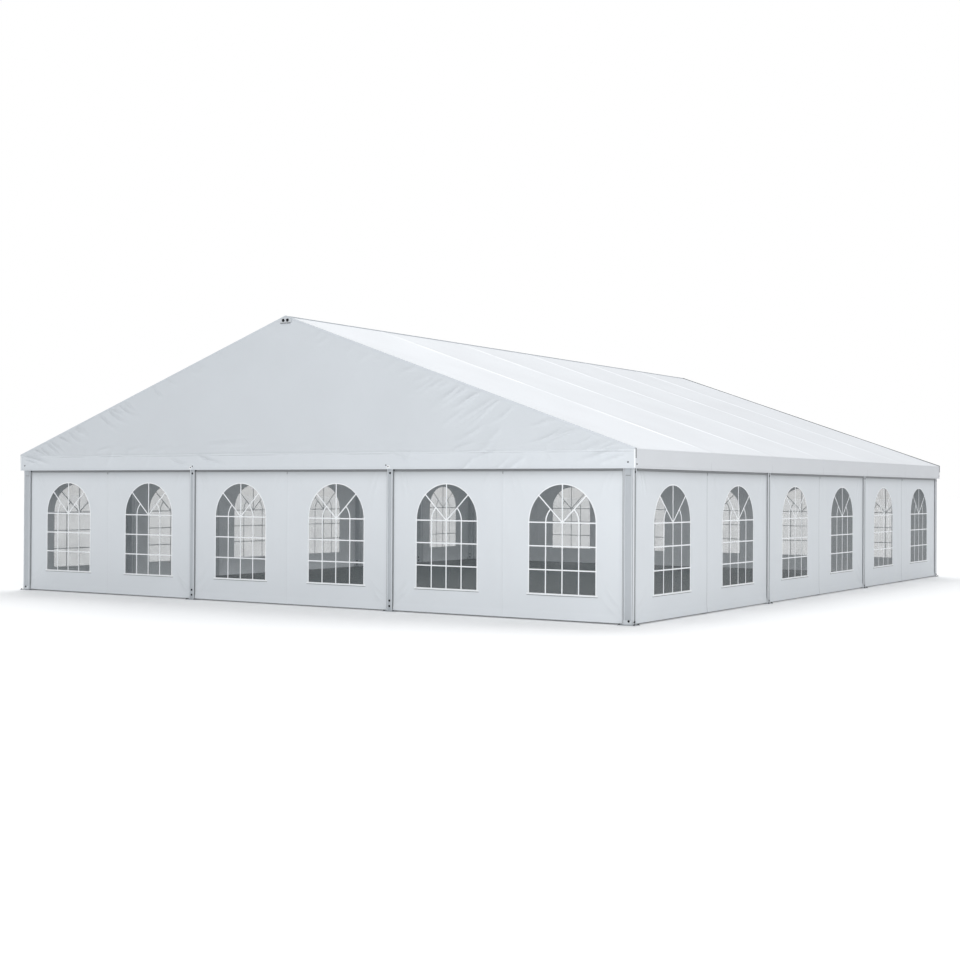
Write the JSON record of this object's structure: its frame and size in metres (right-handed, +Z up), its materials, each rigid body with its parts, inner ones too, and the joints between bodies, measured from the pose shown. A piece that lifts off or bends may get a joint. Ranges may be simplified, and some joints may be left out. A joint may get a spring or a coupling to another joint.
{
  "type": "marquee tent",
  "caption": "Clear-span aluminium frame marquee with a white PVC roof and PVC walls that have arched clear windows.",
  "frame": {"origin": "on the ground at the middle of the plan", "axes": "+Z up; the gables face -Y and +Y, and the ridge runs along Y"},
  "size_m": [15.11, 18.22, 5.6],
  "materials": {
    "aluminium": "mill-finished extrusion, dull, cool grey",
    "roof_pvc": "lacquered PVC-coated polyester, bright white, semi-matt",
    "wall_pvc": "lacquered PVC-coated polyester, cool white, semi-matt",
    "clear_film": "clear flexible PVC film with a slight ripple",
    "floor_boards": "dark grey-green coated boards, matt"
  },
  "bodies": {
    "root": {"floor_deck": "floor_boards", "portal_frame_1": "aluminium", "portal_frame_2": "aluminium", "portal_frame_3": "aluminium", "portal_frame_4": "aluminium", "portal_frame_5": "aluminium", "portal_frame_6": "aluminium", "portal_frame_7": "aluminium", "gable_upright_front_left": "aluminium", "gable_upright_front_right": "aluminium", "gable_upright_back_left": "aluminium", "gable_upright_back_right": "aluminium", "gable_beam_front": "aluminium", "gable_beam_back": "aluminium", "eave_beam_left": "aluminium", "eave_beam_right": "aluminium", "ridge_beam": "aluminium", "roof_purlin_left": "aluminium", "roof_purlin_right": "aluminium", "roof_cover_1": "roof_pvc", "roof_cover_2": "roof_pvc", "roof_cover_3": "roof_pvc", "roof_cover_4": "roof_pvc", "roof_cover_5": "roof_pvc", "roof_cover_6": "roof_pvc", "gable_cover_front": "wall_pvc", "gable_cover_back": "wall_pvc", "gable_curtain_front_left": "wall_pvc", "gable_curtain_front_centre": "wall_pvc", "gable_curtain_front_right": "wall_pvc", "gable_curtain_back_left": "wall_pvc", "gable_curtain_back_centre": "wall_pvc", "gable_curtain_back_right": "wall_pvc", "side_curtain_left_1": "wall_pvc", "side_curtain_left_2": "wall_pvc", "side_curtain_left_3": "wall_pvc", "side_curtain_right_1": "wall_pvc", "side_curtain_right_2": "wall_pvc", "side_curtain_right_3": "wall_pvc", "gable_window_film_front_left": "clear_film", "gable_window_film_front_centre": "clear_film", "gable_window_film_front_right": "clear_film", "gable_window_film_back_left": "clear_film", "gable_window_film_back_centre": "clear_film", "gable_window_film_back_right": "clear_film", "side_window_film_left_1": "clear_film", "side_window_film_left_2": "clear_film", "side_window_film_left_3": "clear_film", "side_window_film_right_1": "clear_film", "side_window_film_right_2": "clear_film", "side_window_film_right_3": "clear_film"}
  },
  "joints": []
}
